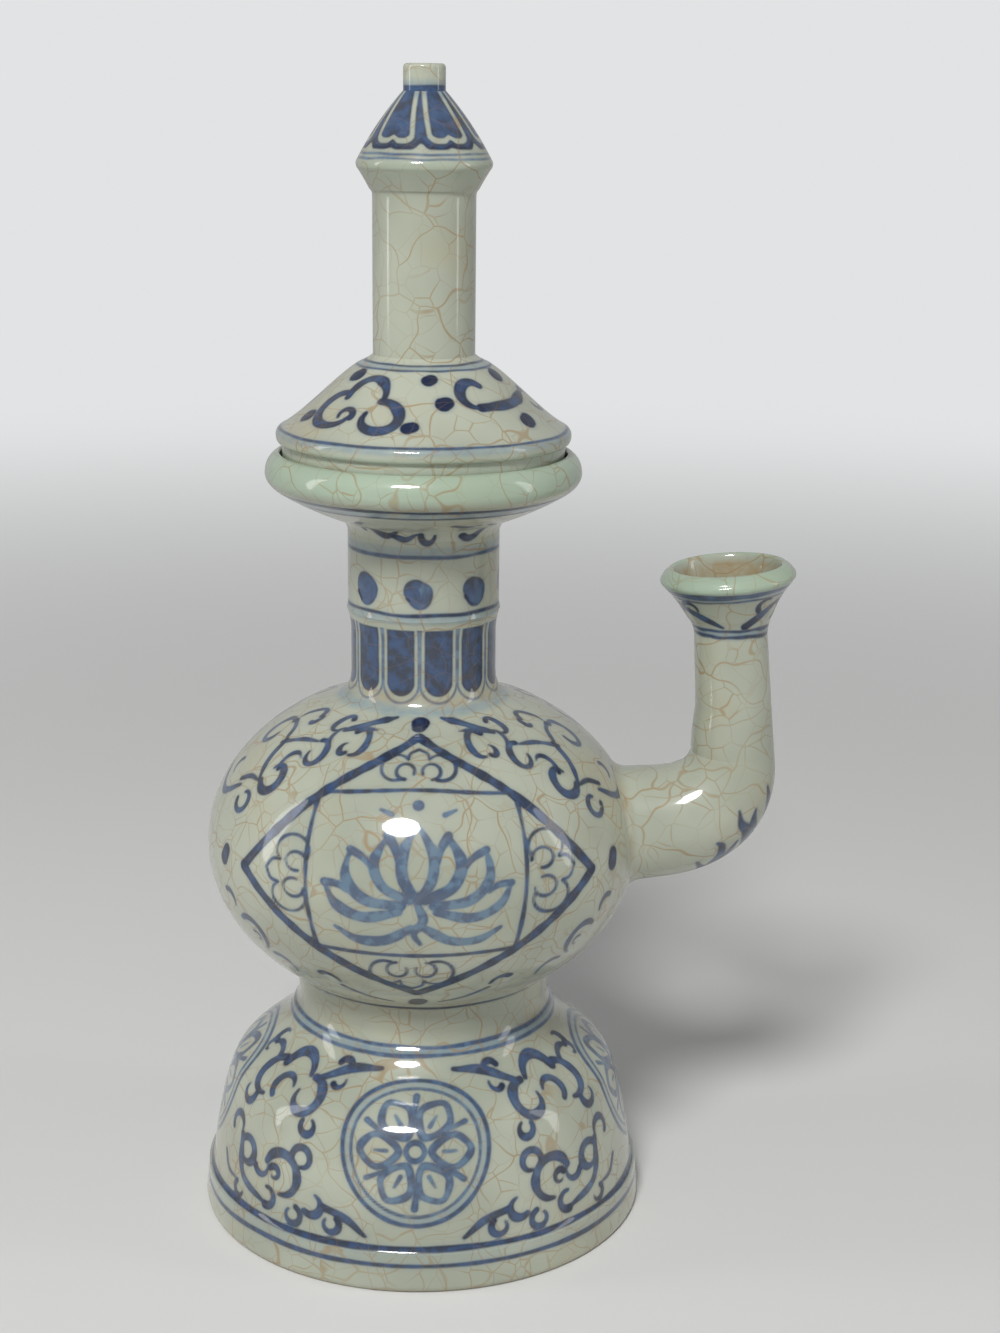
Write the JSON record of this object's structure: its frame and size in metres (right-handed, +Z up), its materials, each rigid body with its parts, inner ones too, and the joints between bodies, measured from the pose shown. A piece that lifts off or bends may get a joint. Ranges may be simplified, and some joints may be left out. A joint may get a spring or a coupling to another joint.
{
  "type": "kundika",
  "caption": "Footed porcelain ewer with a globe body, a cup-topped side spout and a lift-off domed cover that carries a narrow pouring tube, painted in underglaze blue.",
  "frame": {"origin": "on the surface that the foot stands on, below the middle of the whole outline seen from above, spout included; the turned axis of the vessel is at x = -15.78 mm, y = 0", "axes": "+Z up along the turned axis, +X towards the spout, +Y away from the painted front panel"},
  "size_m": [0.134, 0.1024, 0.2584],
  "materials": {
    "painted_glaze": "glossy greyish white crackled glaze over underglaze cobalt painting",
    "plain_glaze": "glossy greyish white crackled glaze, unpainted or with single blue lines",
    "celadon_glaze": "glossy crackled glaze, pooled to a pale green at the lips"
  },
  "bodies": {
    "vessel": {"bell_foot": "painted_glaze", "waist_collar": "plain_glaze", "lower_bowl": "painted_glaze", "upper_bowl": "painted_glaze", "lower_neck": "painted_glaze", "upper_neck": "painted_glaze", "dish_mouth": "celadon_glaze", "spout_arm": "plain_glaze", "spout_riser": "plain_glaze", "spout_cup": "celadon_glaze"},
    "cover": {"cover_ring": "plain_glaze", "cover_dome": "painted_glaze", "cover_tube": "plain_glaze", "cover_cap": "painted_glaze", "cover_nozzle": "plain_glaze"}
  },
  "joints": [
    {"name": "cover_lift", "type": "slide", "parent": "vessel", "child": "cover", "axis": [0, 0, 1], "range_m": [0, 0.04]}
  ]
}
